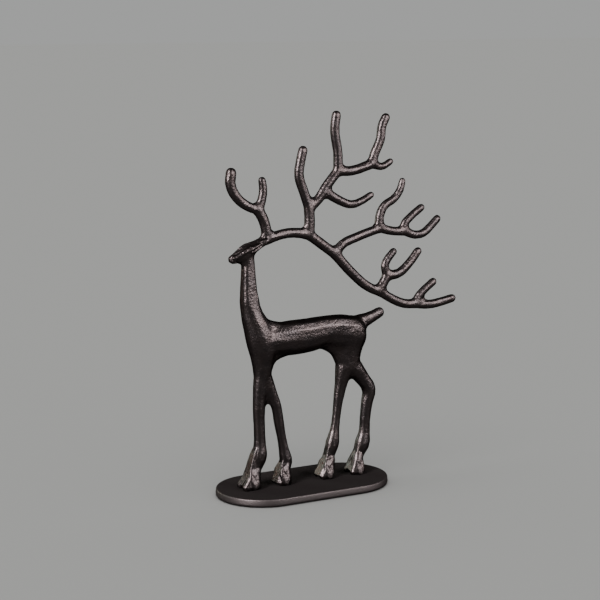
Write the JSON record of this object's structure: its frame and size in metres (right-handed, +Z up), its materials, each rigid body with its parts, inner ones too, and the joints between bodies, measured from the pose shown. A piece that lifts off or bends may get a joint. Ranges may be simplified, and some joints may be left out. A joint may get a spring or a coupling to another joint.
{
  "type": "reindeer figurine",
  "caption": "Cast metal reindeer standing on an oval plate, with a wide flat spray of branching antlers swept up and back over its body.",
  "frame": {"origin": "middle of the plate's underside", "axes": "+X along the deer from head to tail, +Z up, Y across the deer; the deer faces -X"},
  "size_m": [0.2016, 0.0718, 0.2789],
  "materials": {
    "casting": "satin dark bronze lacquer over a fine cast grain",
    "plate": "satin black lacquer"
  },
  "bodies": {
    "root": {"reindeer": "casting", "base_plate": "plate"}
  },
  "joints": []
}
